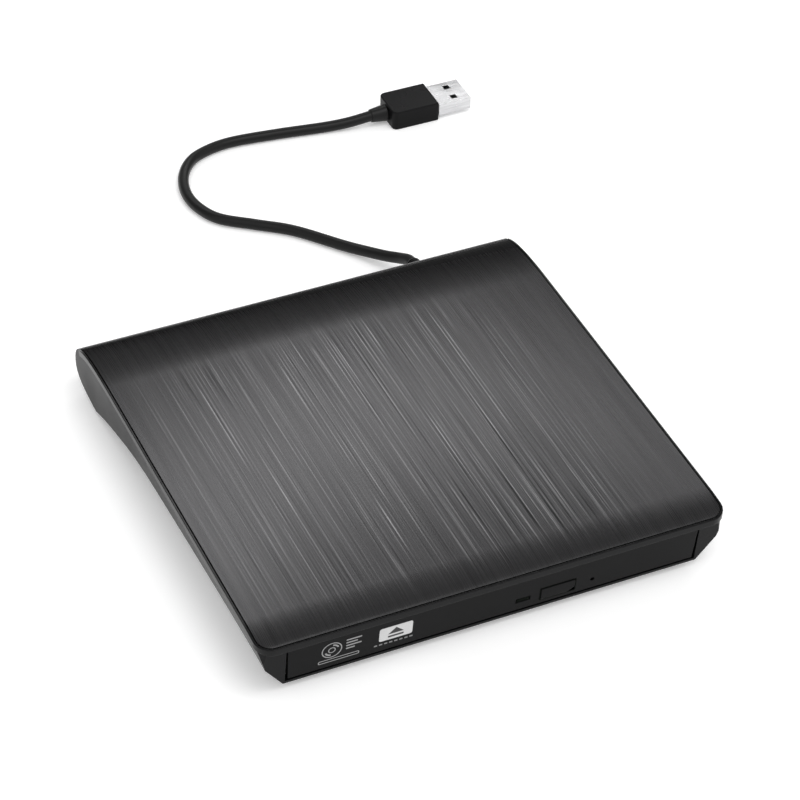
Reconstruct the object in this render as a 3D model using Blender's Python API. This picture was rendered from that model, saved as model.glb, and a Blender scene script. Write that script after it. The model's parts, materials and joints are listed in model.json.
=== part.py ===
"""External slim optical drive: outer case, tray drive, loading tray with spindle and pickup, cable.

The front faces -Y, the desk is at Z = 0, and the origin is under the middle of the case.
Lengths are written in millimetres and become metres as each mesh is made.
"""

import math

import bmesh
import bpy
from mathutils import Matrix, Vector

MM = 0.001

# Outer case.
WIDTH = 146.0
DEPTH = 150.8
HEIGHT = 20.5
FRONT = -DEPTH / 2
REAR = DEPTH / 2
FOOT_HEIGHT = 2.0
COVER_THICKNESS = 2.1
PLATE_THICKNESS = 0.6
GAP = 0.3
FACE_LEAN = math.tan(math.radians(6.5))
FACE_TOP = 18.0
FACE_TOP_Y = FRONT + 1.3
CORNER_RADIUS = 5.2

# Tray drive inside the case.
DRIVE_LOW = 3.9
DRIVE_HIGH = 16.6
DRIVE_HALF_WIDTH = 64.1
DRIVE_REAR = 54.8
SHEET = 0.4
BEZEL_HALF_WIDTH = 64.0
BEZEL_LOW = 4.1
BEZEL_HIGH = 16.8
BEZEL_BACK = -71.3
TRAY_HALF_WIDTH = 61.8
TRAY_FRONT = -71.0
TRAY_REAR = 50.8
TRAY_LOW = 5.3
TRAY_HIGH = 15.2
TRAY_FLOOR = 11.6
TRAY_CEILING = 10.4
RECESS_RADIUS = 61.0

# Spindle, and the diagonal along which the pickup travels.
SPINDLE = (0.0, -8.5)
FEED_DIRECTION = Vector((-math.sqrt(0.5), math.sqrt(0.5)))
FEED_SIDE = Vector((math.sqrt(0.5), math.sqrt(0.5)))
SLED_START = 23.0
SLED_HALF = 8.5
ROD_SPREAD = 13.0
ROD_HEIGHT = 7.7
SCREW_SIDE = -19.0

# Front controls, as centres along X and Z.
BUTTON_X = (14.3, 25.1)
BUTTON_Z = (5.75, 10.15)
LED_X = (6.7, 10.7)
LED_Z = (7.4, 8.4)
EJECT_HOLE = (30.8, 7.8)

# Latch at the tray's front right.
LATCH_PIVOT = (50.0, -56.0)
LATCH_POST = (58.2, -46.7)

# Cable and plug.
CORD_RADIUS = 1.85
CORD_EXIT = (44.0, 8.0)
BOOT_TIP = 81.0
PLUG_Y = 166.7
PLUG_Z = 3.6
PLUG_BACK = 73.0
PLUG_FRONT = 90.0
PLUG_NECK = 67.0

FINISHES = {
    "brushed_black": ((0.075, 0.075, 0.08, 1), 0.35, 0.9),
    "gloss_black": ((0.012, 0.012, 0.013, 1), 0.18, 0.0),
    "satin_black": ((0.03, 0.03, 0.032, 1), 0.45, 0.0),
    "rubber_black": ((0.02, 0.02, 0.02, 1), 0.8, 0.0),
    "sheet_steel": ((0.55, 0.56, 0.57, 1), 0.35, 1.0),
    "bright_steel": ((0.7, 0.7, 0.71, 1), 0.2, 1.0),
    "dark_plastic": ((0.045, 0.045, 0.05, 1), 0.5, 0.0),
    "white_plastic": ((0.75, 0.75, 0.73, 1), 0.5, 0.0),
    "circuit_green": ((0.02, 0.12, 0.06, 1), 0.45, 0.0),
    "ribbon": ((0.55, 0.4, 0.2, 1), 0.5, 0.0),
    "lens_blue": ((0.12, 0.16, 0.3, 1), 0.05, 0.0),
    "lamp": ((0.35, 0.5, 0.35, 1), 0.3, 0.0),
}


def clear_scene():
    for obj in list(bpy.data.objects):
        bpy.data.objects.remove(obj, do_unlink=True)


def material(finish):
    if finish in bpy.data.materials:
        return bpy.data.materials[finish]
    made = bpy.data.materials.new(finish)
    made.use_nodes = True
    colour, roughness, metallic = FINISHES[finish]
    shader = made.node_tree.nodes["Principled BSDF"]
    shader.inputs["Base Color"].default_value = colour
    shader.inputs["Roughness"].default_value = roughness
    shader.inputs["Metallic"].default_value = metallic
    return made


def new_object(name, bm, finish):
    """The object made from a bmesh in millimetres."""
    bmesh.ops.recalc_face_normals(bm, faces=bm.faces)
    mesh = bpy.data.meshes.new(name)
    bm.to_mesh(mesh)
    bm.free()
    mesh.transform(Matrix.Scale(MM, 4))
    mesh.materials.append(material(finish))
    obj = bpy.data.objects.new(name, mesh)
    bpy.context.scene.collection.objects.link(obj)
    return obj


def prism(name, outline, axis, low, high, finish="satin_black"):
    """An outline swept along an axis. It is (y, z) for X, (x, z) for Y and (x, y) for Z."""
    place = {
        "X": lambda p, s: (s, p[0], p[1]),
        "Y": lambda p, s: (p[0], s, p[1]),
        "Z": lambda p, s: (p[0], p[1], s),
    }[axis]
    bm = bmesh.new()
    near = [bm.verts.new(place(p, low)) for p in outline]
    far = [bm.verts.new(place(p, high)) for p in outline]
    bm.faces.new(near)
    bm.faces.new(reversed(far))
    for i in range(len(outline)):
        j = (i + 1) % len(outline)
        bm.faces.new((near[i], far[i], far[j], near[j]))
    return new_object(name, bm, finish)


def rectangle(a, b):
    return [(a[0], b[0]), (a[1], b[0]), (a[1], b[1]), (a[0], b[1])]


def box(name, x, y, z, finish="satin_black"):
    return prism(name, rectangle(x, y), "Z", z[0], z[1], finish)


def rod(name, start, end, radius, finish="satin_black", steps=12, end_radius=None):
    """A round bar between two points, tapered if its end radius differs."""
    start, end = Vector(start), Vector(end)
    turn = (end - start).to_track_quat("Z", "Y").to_matrix().to_4x4()
    bm = bmesh.new()
    bmesh.ops.create_cone(
        bm,
        cap_ends=True,
        segments=steps,
        radius1=radius,
        radius2=radius if end_radius is None else end_radius,
        depth=(end - start).length,
        matrix=Matrix.Translation((start + end) / 2) @ turn,
    )
    return new_object(name, bm, finish)


def turned(name, profile, frame, finish, steps=24):
    """A profile of (radius, height) turned about the local Z of a frame.

    A profile that starts and ends on the axis is open there; any other is a closed loop.
    """
    on_axis = profile[0][0] == 0
    bm = bmesh.new()
    rings = []
    for k in range(steps):
        angle = 2 * math.pi * k / steps
        ring = []
        for radius, height in profile:
            point = Vector((radius * math.cos(angle), radius * math.sin(angle), height))
            ring.append(bm.verts.new(frame @ point))
        rings.append(ring)
    spans = len(profile) - 1 if on_axis else len(profile)
    for k in range(steps):
        ring, following = rings[k], rings[(k + 1) % steps]
        for i in range(spans):
            j = (i + 1) % len(profile)
            bm.faces.new((ring[i], following[i], following[j], ring[j]))
    bmesh.ops.remove_doubles(bm, verts=bm.verts, dist=1e-6)
    return new_object(name, bm, finish)


def upright(x, y):
    return Matrix.Translation((x, y, 0))


def combine(body, others, operation):
    """Cuts the other solids from the body, or joins them to it, and uses them up."""
    for other in others:
        modifier = body.modifiers.new(operation.lower(), "BOOLEAN")
        modifier.operation = operation
        modifier.solver = "EXACT"
        modifier.object = other
    bpy.context.view_layer.update()
    graph = bpy.context.evaluated_depsgraph_get()
    mesh = bpy.data.meshes.new_from_object(body.evaluated_get(graph))
    mesh.name = body.name
    body.modifiers.clear()
    body.data = mesh
    for other in others:
        bpy.data.objects.remove(other, do_unlink=True)
    return body


def cut(body, *others):
    return combine(body, others, "DIFFERENCE")


def join(body, *others):
    return combine(body, others, "UNION")


def common(body, *others):
    return combine(body, others, "INTERSECT")


def joint_frame(name, point, parent=None):
    """An empty on a joint's axis, which holds the pieces that the joint moves."""
    empty = bpy.data.objects.new(name, None)
    empty.empty_display_size = 0.01
    empty["point"] = [c * MM for c in point]
    empty.location = Vector(empty["point"])
    if parent:
        empty.location -= Vector(parent["point"])
        empty.parent = parent
    bpy.context.scene.collection.objects.link(empty)
    return empty


def hold(empty, *pieces):
    """Moves each piece's origin to the joint and parents it there."""
    for piece in pieces:
        piece.data.transform(Matrix.Translation(-Vector(empty["point"])))
        piece.parent = empty


def smooth(obj, angle=35):
    obj.data.shade_smooth()
    obj.data.set_sharp_from_angle(angle=math.radians(angle))


# Outline of the case.


def bezier(points, t):
    a, b, c, d = (Vector(p) for p in points)
    s = 1 - t
    return s**3 * a + 3 * s * s * t * b + 3 * s * t * t * c + t**3 * d


ROLL_TOP = ((41.7, HEIGHT), (64.7, HEIGHT), (REAR + 0.2, 18.2), (REAR, 9.2))
ROLL_UNDER = ((REAR, 9.2), (REAR, 4.4), (71.2, 2.2), (54.7, FOOT_HEIGHT))
COVER_END = 0.62
NOSE_START = COVER_END + 0.014
DROOP_LENGTH = 13.1
DROOP = 1.0


def offset(curve, depth, steps):
    """Points of a curve given by a function of 0 to 1, moved to its right by a depth."""
    points = []
    for k in range(steps + 1):
        t = k / steps
        a, b = curve(max(t - 1e-4, 0)), curve(min(t + 1e-4, 1))
        along = (b - a).normalized()
        points.append(curve(t) + depth * Vector((along.y, -along.x)))
    return [tuple(p) for p in points]


def front_droop(t):
    y = FRONT - 1 + (DROOP_LENGTH + 1) * t
    sag = (FRONT + DROOP_LENGTH - y) / DROOP_LENGTH
    return Vector((y, HEIGHT - DROOP * sag * sag))


def top_skin(depth, end):
    """The top surface in (y, z), from front to back, lowered by a depth."""
    droop = offset(front_droop, depth, 5)
    roll = offset(lambda t: bezier(ROLL_TOP, t * end), depth, 9)
    return droop + roll


def nose(depth, start, steps=7):
    """The back of the roll, from the cover's end to the base."""
    back = offset(lambda t: bezier(ROLL_TOP, start + t * (1 - start)), depth, steps)
    under = offset(lambda t: bezier(ROLL_UNDER, t), depth, steps)
    return back + under[1:]


def plan(inset, radius):
    """The case seen from above, rounded at its front corners and open-ended at the back."""
    half, front, back = WIDTH / 2 - inset, FRONT + inset, REAR + 10
    points = [(half, back), (-half, back)]
    for cx, start in ((-half + radius, math.pi), (half - radius, 1.5 * math.pi)):
        for k in range(7):
            angle = start + k / 6 * math.pi / 2
            x = cx + radius * math.cos(angle)
            points.append((x, front + radius + radius * math.sin(angle)))
    return points


def face_y(z):
    """The front face leans back as it goes down."""
    return FACE_TOP_Y + (FACE_TOP - z) * FACE_LEAN


def slab(name, top, bottom, inset, finish):
    """A sheet between two depths below the top surface, inset from the case's outline."""
    profile = top_skin(top, COVER_END) + top_skin(bottom, COVER_END)[::-1]
    sheet = prism(name, profile, "X", -WIDTH / 2 - 1, WIDTH / 2 + 1, finish)
    outline = plan(inset, CORNER_RADIUS - inset)
    return common(sheet, prism("outline", outline, "Z", -5, 30, finish))


# Outer case.


def lid_plate():
    plate = slab("lid_plate", 0.0, PLATE_THICKNESS, 1.0, "brushed_black")
    end = bezier(ROLL_TOP, COVER_END)
    cut(plate, box("trim", (-80, 80), (end.x - 1.0, 90), (0, 30)))
    smooth(plate)


SCREW_POSTS = ((-64.0, 64.0), (64.0, 64.0))


def top_cover():
    cover = slab("top_cover", 0.0, COVER_THICKNESS, 0.0, "gloss_black")
    recess = slab("recess", -1.0, PLATE_THICKNESS + GAP, 0.7, "gloss_black")
    end = bezier(ROLL_TOP, COVER_END)
    cut(recess, box("trim", (-80, 80), (end.x - 0.7, 90), (0, 30)))
    cut(cover, recess)
    posts = [rod("post", (x, y, 6.2), (x, y, 17.4), 2.8) for x, y in SCREW_POSTS]
    ribs = [
        box("rib", (-60, 60), (y, y + 1.2), (17.1, 18.8)) for y in (-62.0, -20.0, 22.0)
    ]
    join(cover, *posts, *ribs)
    pilots = [rod("pilot", (x, y, 5), (x, y, 15.5), 1.3) for x, y in SCREW_POSTS]
    cut(cover, *pilots)
    smooth(cover)


def cheek_low(y):
    """Height of the cheek's lower edge: level, then dropping into the roll."""
    fall = max((y - 12.0) / 46.0, 0.0)
    return max(10.6 - 8.6 * fall * fall, 0.6)


def cheek_lean(y):
    """How far the cheek's lower edge is set in: most at the front, none at the roll."""
    share = min(max((y + 62.0) / 100.0, 0.0), 1.0)
    return 1.9 * (1 - share**1.4)


def side_cutter(side):
    """What lies outside one cheek and the chamfer below it, as a loft along Y."""
    wall, chamfer, low = WIDTH / 2 - 0.5, 0.70, 0.5
    stations = [-90, -62, -45, -28, -10, 6, 16, 24, 31, 38, 44, 50, 55, 59, 64]
    bm = bmesh.new()
    rings = []
    for y in stations:
        z, lean = cheek_low(y), cheek_lean(y)
        foot = wall - lean - (z - low) * chamfer
        section = ((wall, 30), (wall, 18.2), (wall - lean, z), (foot, low), (84, low), (84, 30))
        rings.append([bm.verts.new((side * x, y, h)) for x, h in section])
    for ring, following in zip(rings, rings[1:]):
        for i in range(len(ring)):
            j = (i + 1) % len(ring)
            bm.faces.new((ring[i], ring[j], following[j], following[i]))
    bm.faces.new(rings[0])
    bm.faces.new(reversed(rings[-1]))
    return new_object("side_cutter", bm, "satin_black")


FEET = ((-52.0, -60.0), (52.0, -60.0), (-52.0, 50.0), (52.0, 50.0))
FOOT_RADIUS = 5.0


def bottom_case():
    top = top_skin(COVER_THICKNESS + GAP, NOSE_START)
    top = [(face_y(17.0), 17.0)] + [p for p in top if p[0] > FRONT + 2]
    base = [(face_y(2.5) + 0.6, FOOT_HEIGHT), (face_y(2.5), 2.5)]
    outline = base + top + nose(0.0, NOSE_START)
    case = prism("bottom_case", outline, "X", -80, 80, "satin_black")
    common(case, prism("outline", plan(0.5, CORNER_RADIUS - 0.5), "Z", -5, 30))
    cut(case, side_cutter(1), side_cutter(-1))
    bay = box("bay", (-64.4, 64.4), (-90, 56), (3.4, 30))
    inner = nose(2.2, 0.55)
    chamber = [(53.0, 30.0), (inner[0][0], 30.0)] + inner[:-1] + [(53.0, inner[-2][1])]
    back = prism("chamber", chamber, "X", -69.8, 69.8)
    side_pockets = [
        box("pocket", (side * 65.8, side * 70.2), (-58, 40), (11.6, 30)) for side in (-1, 1)
    ]
    x, z = CORD_EXIT
    slot = rod("slot", (x, 66, z), (x, 90, z), 2.8, steps=16)
    collar_seat = rod("collar_seat", (x, 64, z), (x, 70.8, z), 3.6, steps=16)
    cut(case, bay, back, *side_pockets, slot, collar_seat)
    posts = [rod("post", (x, y, 3.0), (x, y, 5.9), 3.2) for x, y in SCREW_POSTS]
    join(case, *posts)
    holes = [rod("hole", (x, y, 0), (x, y, 8), 1.3) for x, y in SCREW_POSTS]
    heads = [rod("head", (x, y, 0), (x, y, 4.0), 2.4) for x, y in SCREW_POSTS]
    seats = [rod("seat", (x, y, 0), (x, y, 2.6), FOOT_RADIUS + GAP, steps=20) for x, y in FEET]
    cut(case, *holes, *heads, *seats)
    smooth(case, 25)


def feet_and_screws():
    for k, (x, y) in enumerate(FEET, 1):
        profile = [(0, 0), (FOOT_RADIUS - 0.5, 0), (FOOT_RADIUS, 0.5), (FOOT_RADIUS, 2.3), (0, 2.3)]
        smooth(turned(f"foot_{k}", profile, upright(x, y), "rubber_black", 20))
    for k, (x, y) in enumerate(SCREW_POSTS, 1):
        screw(f"case_screw_{k}", x, y, 3.7, -1, 2.0, 1.2, 1.0, 10.5)


def screw(name, x, y, seat, side, head_radius, head_height, shank_radius, length):
    """A cross-head screw whose head sits beyond its seat, on the side given."""
    profile = [
        (0, seat + side * head_height),
        (head_radius, seat + side * head_height),
        (head_radius, seat),
        (shank_radius, seat),
        (shank_radius, seat - side * length),
        (0, seat - side * length),
    ]
    made = turned(name, profile, upright(x, y), "bright_steel", 12)
    outer = seat + side * head_height
    span = sorted((outer + side * 0.1, outer - side * 0.7))
    size = head_radius * 0.6
    slots = [
        box("slot", (x - a, x + a), (y - b, y + b), span) for a, b in ((size, 0.22), (0.22, size))
    ]
    cut(made, *slots)
    smooth(made)


# The drive's fixed parts.


def drive_shell():
    half, low = DRIVE_HALF_WIDTH, DRIVE_LOW
    floor = low + SHEET
    pan = box("drive_pan", (-half, half), (-70.4, DRIVE_REAR), (low, 15.8), "sheet_steel")
    inside = box("inside", (SHEET - half, half - SHEET), (-80, DRIVE_REAR - SHEET), (floor, 30))
    window = box("window", (24.4, 59.6), (50, 60), (5.2, 10.6))
    cut(pan, inside, window)
    x, y = LATCH_POST
    join(pan, rod("post", (x, y, low + 0.1), (x, y, 7.6), 0.9))
    lid = box("drive_lid", (-half, half), (-70.4, DRIVE_REAR), (16.2, DRIVE_HIGH), "sheet_steel")
    vents = [
        box("vent", (x, x + 8.0), (47.5, 49.0), (15, 18)) for x in (-50.0, -38.0, -26.0, -14.0)
    ]
    cut(lid, *vents)
    for k, (x, y) in enumerate(((-63.0, 52.6), (63.0, 52.6)), 1):
        bracket = box("seat", (x - 0.9, x + 0.9), (y - 1.5, y + 1.5), (14.4, 15.7))
        join(pan, bracket)
        cut(lid, rod("hole", (x, y, 15), (x, y, 18), 0.8, steps=10))
        drive_screw(f"drive_screw_{k}", x, y)


def drive_screw(name, x, y):
    profile = [(0, 17.6), (1.0, 17.6), (1.3, 16.9), (0.5, 16.9), (0.5, 16.0), (0, 16.0)]
    smooth(turned(name, profile, upright(x, y), "bright_steel", 10))


RAIL_Z = (7.4, 10.2)


def rail_guides():
    low, high = RAIL_Z[0] - GAP, RAIL_Z[1] + GAP
    for name, side in (("rail_guide_left", -1), ("rail_guide_right", 1)):
        channel = [
            (62.1, low - 1.2), (63.4, low - 1.2), (63.4, high + 1.2), (62.1, high + 1.2),
            (62.1, high), (62.8, high), (62.8, low), (62.1, low),
        ]
        prism(name, [(side * x, z) for x, z in channel], "Y", -69.0, 54.0, "white_plastic")


def rails():
    frame = joint_frame("rails_frame", (0, -10, 8.8))
    pieces = [
        box("slide_rail_left", (-62.5, -61.3), (-69.5, 49.0), RAIL_Z, "sheet_steel"),
        box("slide_rail_right", (61.3, 62.5), (-69.5, 49.0), RAIL_Z, "sheet_steel"),
        ribbon_fold(),
    ]
    hold(frame, *pieces)


RIBBON_X = (-57.0, -43.0)
FOLD_Y = -62.0
FOLD_STRIP = 68.0


def ribbon_fold():
    """The moving bend of the flat cable: a long lower strip, the bend and a short upper strip."""
    bend = [(FOLD_Y + FOLD_STRIP, 4.75), (FOLD_Y, 4.75)]
    centre, outer, inner = (FOLD_Y, 5.6), 0.85, 0.7
    steps = 6
    for k in range(steps + 1):
        angle = -math.pi / 2 - math.pi * k / steps
        bend.append((centre[0] + outer * math.cos(angle), centre[1] + outer * math.sin(angle)))
    bend += [(FOLD_Y + 8, 6.45), (FOLD_Y + 8, 6.3)]
    for k in range(steps + 1):
        angle = math.pi / 2 + math.pi * k / steps
        bend.append((centre[0] + inner * math.cos(angle), centre[1] + inner * math.sin(angle)))
    bend.append((FOLD_Y + FOLD_STRIP, 4.9))
    clean = [p for i, p in enumerate(bend) if math.dist(p, bend[i - 1]) > 0.01]
    return prism("ribbon_fold", clean, "X", RIBBON_X[0], RIBBON_X[1], "ribbon")


def fixed_electronics():
    box("ribbon_fixed", RIBBON_X, (FOLD_Y + 2, 50.6), (4.42, 4.57), "ribbon")
    board = box("rear_board", (-59, 60.5), (51.2, 54.1), (4.6, 5.2), "circuit_green")
    socket = box("socket", (-58, -42), (51.3, 53.6), (5.1, 6.6))
    join(board, socket)
    plug = box("drive_connector", (24.9, 59.1), (51.4, 57.0), (5.5, 10.3), "dark_plastic")
    cut(plug, box("mouth", (26.2, 57.8), (54.2, 60), (6.7, 9.1)))
    header = box("bridge_connector", (25.4, 58.6), (57.3, 61.2), (5.6, 10.2), "dark_plastic")
    blade = box("blade", (27.0, 57.0), (55.0, 58.0), (7.4, 8.4))
    join(header, blade)
    bridge = box("bridge_board", (-30, 50), (61.5, 71.0), (7.6, 8.6), "circuit_green")
    chips = [
        box("chip", (x, x + w), (y, y + d), (8.4, h))
        for x, w, y, d, h in (
            (-6, 9, 62.5, 7, 9.8), (10, 5, 63, 4, 9.6), (-22, 4, 63, 3, 10.4), (-14, 3, 66, 3, 9.6),
        )
    ]
    stems = [box("stem", (x, x + 1.0), (61.6, 62.8), (8.4, 9.6)) for x in (30.0, 38.0, 46.0)]
    join(bridge, *chips, *stems)
    cut(bridge, box("notch", (39.5, 48.5), (68.2, 72.0), (6, 12)))
    kick_spring()


def kick_spring():
    """A small compressed coil that starts the tray's way out."""
    turns, radius, steps = 3.5, 1.5, 12
    start, pitch = 51.35, 0.75
    curve = bpy.data.curves.new("kick_spring", "CURVE")
    curve.dimensions = "3D"
    curve.bevel_depth = 0.22 * MM
    curve.bevel_resolution = 1
    curve.use_fill_caps = True
    count = int(turns * steps) + 1
    spline = curve.splines.new("POLY")
    spline.points.add(count - 1)
    for k in range(count):
        angle = 2 * math.pi * k / steps
        x, z = -20 + radius * math.cos(angle), 8.2 + radius * math.sin(angle)
        y = start + pitch * k / steps
        spline.points[k].co = (x * MM, y * MM, z * MM, 1)
    curve.materials.append(material("bright_steel"))
    obj = bpy.data.objects.new("kick_spring", curve)
    bpy.context.scene.collection.objects.link(obj)


# The tray and what it carries.


def diagonal(u, v):
    """A point u along the pickup's travel and v to its side, measured from the spindle."""
    point = Vector(SPINDLE) + u * FEED_DIRECTION + v * FEED_SIDE
    return tuple(point)


def diagonal_plate(name, outline, z, finish="satin_black"):
    return prism(name, [diagonal(*p) for p in outline], "Z", z[0], z[1], finish)


def diagonal_box(name, u, v, z, finish="satin_black"):
    return diagonal_plate(name, rectangle(u, v), z, finish)


def diagonal_rod(name, u, v, z, radius, finish, steps=12):
    (x0, y0), (x1, y1) = diagonal(u[0], v), diagonal(u[1], v)
    return rod(name, (x0, y0, z), (x1, y1, z), radius, finish, steps)


def window(inset):
    """The opening in the tray's floor as (u, v): wide over the sled, narrower at its far end."""
    back, step, end = -20 + inset, 50 - inset, 64 - inset
    wide, narrow = 18.6 - inset, 14.0 - inset
    right = [(back, wide), (step, wide), (step, narrow), (end, narrow)]
    return right + [(u, -v) for u, v in reversed(right)]


def tray(frame):
    half = TRAY_HALF_WIDTH
    body = box("tray", (-half, half), (TRAY_FRONT, TRAY_REAR), (TRAY_LOW, TRAY_HIGH), "dark_plastic")
    x, y = SPINDLE
    recess = rod("recess", (x, y, TRAY_FLOOR), (x, y, 30), RECESS_RADIUS, steps=64)
    under = box("under", (-60.2, 60.2), (TRAY_FRONT + 1.5, TRAY_REAR - 1.0), (0, TRAY_CEILING))
    grooves = [
        box("groove", tuple(sorted((s * 61.0, s * 63.0))), (-90, 90), (7.1, 10.5)) for s in (-1, 1)
    ]
    opening = diagonal_plate("opening", window(0.0), (9, TRAY_FLOOR + 0.1))
    channel = box("channel", (56.0, 60.2), (40, 60), (0, 8.2))
    ribbon_way = box("ribbon_way", (-58.0, -42.0), (40, 60), (0, 7.2))
    cut(body, recess, under, *grooves, opening, channel, ribbon_way)
    holes = front_apertures(GAP)
    cut(body, *holes)
    px, py = LATCH_PIVOT
    pivot = rod("pivot", (px, py, TRAY_LOW + 0.1), (px, py, 11.0), 1.2)
    bosses = [rod("boss", (bx, by, 7.6), (bx, by, 11.0), 1.6) for bx, by in DAMPERS]
    join(body, pivot, *bosses)
    smooth(body, 20)
    hold(frame, body)


def front_apertures(room):
    """Cutters for the button, the lamp and the emergency pin, which go through the front."""
    depth = (-76, -69)
    x, z = EJECT_HOLE
    return [
        box("button_hole", (BUTTON_X[0] - room, BUTTON_X[1] + room), depth,
            (BUTTON_Z[0] - room, BUTTON_Z[1] + room)),
        box("lamp_hole", (LED_X[0] - room, LED_X[1] + room), depth,
            (LED_Z[0] - room, LED_Z[1] + room)),
        rod("pin_hole", (x, depth[0], z), (x, depth[1], z), 0.65, steps=12),
    ]


def tray_bezel(frame):
    profile = [
        (face_y(BEZEL_LOW), BEZEL_LOW),
        (face_y(BEZEL_HIGH), BEZEL_HIGH),
        (BEZEL_BACK, BEZEL_HIGH),
        (BEZEL_BACK, BEZEL_LOW),
    ]
    half, foot = BEZEL_HALF_WIDTH, BEZEL_HALF_WIDTH - 0.5
    bezel = prism("tray_bezel", profile, "X", -70, 70, "satin_black")
    ends = [(-foot, BEZEL_LOW - 1), (foot, BEZEL_LOW - 1), (half, BEZEL_HIGH + 1), (-half, BEZEL_HIGH + 1)]
    common(bezel, prism("ends", ends, "Y", -80, -60))
    cut(bezel, *front_apertures(GAP))
    middle = (LED_Z[0] + LED_Z[1]) / 2
    lamp = box("led_window", LED_X, (face_y(middle) + 0.1, -69.9), LED_Z, "lamp")
    hold(frame, bezel, lamp)


def eject_button(tray_frame):
    low, high = BUTTON_Z
    proud = 0.25
    profile = [(face_y(low) - proud, low), (face_y(high) - proud, high), (-69.6, high), (-69.6, low)]
    button = prism("eject_button", profile, "X", BUTTON_X[0], BUTTON_X[1], "satin_black")
    corner = [(BUTTON_X[1] - 2.2, low - 1), (BUTTON_X[1] + 1, low - 1), (BUTTON_X[1] + 1, low + 1.4),
              (BUTTON_X[1], low + 1.4), (BUTTON_X[1] - 2.2, low)]
    cut(button, prism("corner", corner, "Y", -80, -60))
    middle = (sum(BUTTON_X) / 2, -71.0, sum(BUTTON_Z) / 2)
    hold(joint_frame("button_frame", middle, tray_frame), button)


def tray_mechanism(frame):
    x, y = SPINDLE
    cover = diagonal_plate("mech_cover", window(GAP), (10.8, 11.3), "satin_black")
    hub_hole = rod("hub_hole", (x, y, 9), (x, y, 13), 16.2, steps=32)
    slot = diagonal_box("slot", (10, 62), (-8.0, 8.0), (9, 13))
    cut(cover, hub_hole, slot)

    outline = [
        (-18, 14.5), (-18, -14.5), (-9, -14.5), (-9, -23), (60.4, -23), (60.4, -14.8),
        (67.4, -14.8), (67.4, 14.5),
    ]
    traverse = diagonal_plate("traverse_plate", outline, (5.35, 5.75), "sheet_steel")
    lugs = [
        diagonal_box("lug", u, (v - 1.3, v + 1.3), (5.5, 9.2))
        for u in ((9.0, 10.6), (65.6, 67.1))
        for v in (-ROD_SPREAD, ROD_SPREAD)
    ]
    screw_lug = diagonal_box("lug", (58.4, 60.0), (SCREW_SIDE - 1.6, SCREW_SIDE + 1.2), (5.5, 9.2))
    join(traverse, *lugs, screw_lug)
    opening = diagonal_box("opening", (16, 60), (-9, 9), (5, 6))
    cut(traverse, opening)

    rods = [
        diagonal_rod(name, (10.9, 65.3), v, ROD_HEIGHT, 1.0, "bright_steel")
        for name, v in (("guide_rod_main", -ROD_SPREAD), ("guide_rod_sub", ROD_SPREAD))
    ]
    motor = diagonal_box("sled_motor", (-8.5, 6.5), (-22.8, -15.2), (6.05, 10.0), "sheet_steel")
    stator_profile = [(0, 6.05), (12.0, 6.05), (12.0, 7.4), (9.0, 8.0), (0, 8.0)]
    stator = turned("spindle_motor", stator_profile, upright(x, y), "sheet_steel")
    smooth(stator)
    hold(frame, cover, traverse, *rods, motor, stator)


DAMPERS = ((26.0, -16.0), (-16.0, -38.0), (6.0, 40.0))


def tray_small_parts(frame):
    dampers = [
        turned(f"damper_{k}", [(2.0, 5.9), (3.0, 5.9), (3.0, 8.6), (2.0, 8.6)], upright(x, y),
               "rubber_black", 14)
        for k, (x, y) in enumerate(DAMPERS, 1)
    ]
    board = box("tray_board", (-30, 33), (-68.4, -60.0), (9.0, 9.8), "circuit_green")
    switch = box("switch", (17.0, 22.4), (-68.3, -64.6), (6.6, 9.2))
    lamp = box("lamp", (7.4, 10.0), (-69.2, -66.4), (7.3, 9.2))
    join(board, switch, lamp)
    main_board = box("main_board", (14, 54), (8, 47), (8.6, 9.4), "circuit_green")
    chips = [
        box("chip", (x, x + w), (y, y + w), (9.2, 10.1))
        for x, y, w in ((20, 14, 12), (38, 16, 8), (22, 34, 7), (36, 30, 12))
    ]
    join(main_board, *chips)
    solenoid = box("latch_solenoid", (34, 45), (-64, -55), (5.5, 10.0), "sheet_steel")
    join(solenoid, rod("plunger", (44, -59.5, 7.2), (47.4, -59.5, 7.2), 1.0))
    under = box("tray_under_cover", (-38, 55), (-69.2, 49.4), (4.6, 5.0), "sheet_steel")
    ribbon = box("ribbon_tray", RIBBON_X, (FOLD_Y + 2, 2.0), (6.75, 6.9), "ribbon")
    hold(frame, *dampers, board, main_board, solenoid, under, ribbon)


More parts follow.
